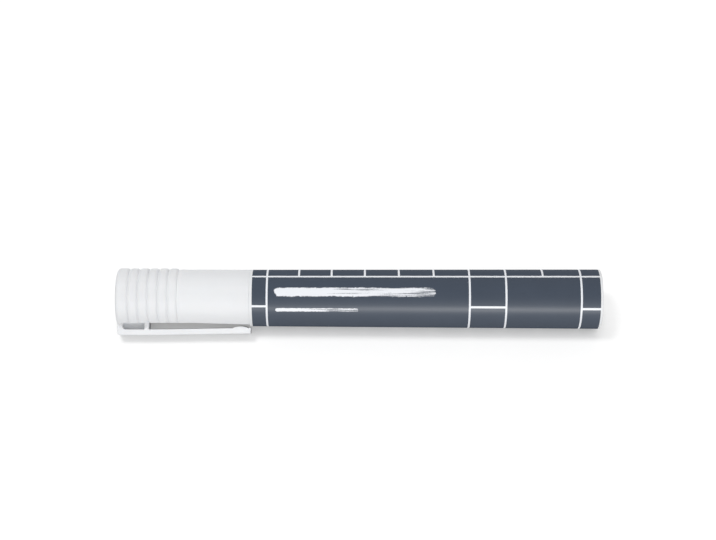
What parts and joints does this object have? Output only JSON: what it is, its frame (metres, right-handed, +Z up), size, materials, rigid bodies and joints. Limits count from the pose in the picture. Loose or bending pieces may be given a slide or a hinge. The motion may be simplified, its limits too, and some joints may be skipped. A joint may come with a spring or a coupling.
{
  "type": "liquid chalk marker",
  "caption": "Round capped marker with a tapered printed barrel, ribbed clip cap, stepped nose and a sprung bullet nib that opens an ink valve.",
  "frame": {"origin": "on the surface that the marker lies on, under the middle of its overall box", "axes": "+X along the marker's axis towards its rear end, +Z up; the cap is at -X and its clip points to -Y and down to the surface"},
  "size_m": [0.1342, 0.0178, 0.0165],
  "materials": {
    "white_moulding": "white satin moulded polypropylene",
    "cap_moulding": "white satin moulded polypropylene",
    "printed_film": "dark blue-grey satin film with thin pale grid lines",
    "nib_fibre": "pressed polyester fibre, matt off-white",
    "natural_plastic": "natural unpainted plastic",
    "seal_rubber": "soft black rubber",
    "spring_steel": "drawn stainless wire",
    "ball_steel": "polished stainless ball"
  },
  "bodies": {
    "barrel": {"barrel": "white_moulding", "barrel_film": "printed_film", "rear_plug": "white_moulding", "nib_holder": "white_moulding", "valve_housing": "natural_plastic", "valve_seal": "seal_rubber", "valve_spring": "spring_steel", "spring_retainer": "natural_plastic"},
    "cap": {"cap_shell": "cap_moulding", "cap_liner": "cap_moulding"},
    "nib": {"nib": "nib_fibre"},
    "valve_stem": {"valve_stem": "natural_plastic"},
    "mixing_ball": {"mixing_ball": "ball_steel"}
  },
  "joints": [
    {"name": "cap_pull", "type": "slide", "parent": "barrel", "child": "cap", "axis": [-1, 0, 0], "range_m": [0, 0.045]},
    {"name": "nib_press", "type": "slide", "parent": "barrel", "child": "nib", "axis": [1, 0, 0], "range_m": [0, 0.0025]},
    {"name": "valve_lift", "type": "slide", "parent": "barrel", "child": "valve_stem", "axis": [1, 0, 0], "range_m": [0, 0.0025], "stiffness_N_per_m": 400, "springref_m": -0.002, "deforming": ["valve_spring"]},
    {"name": "ball_roll", "type": "slide", "parent": "barrel", "child": "mixing_ball", "axis": [1, 0, 0], "range_m": [-0.0622, 0]}
  ],
  "couplings": [
    {"joint": "valve_lift", "follows": "nib_press", "ratio": 1}
  ]
}
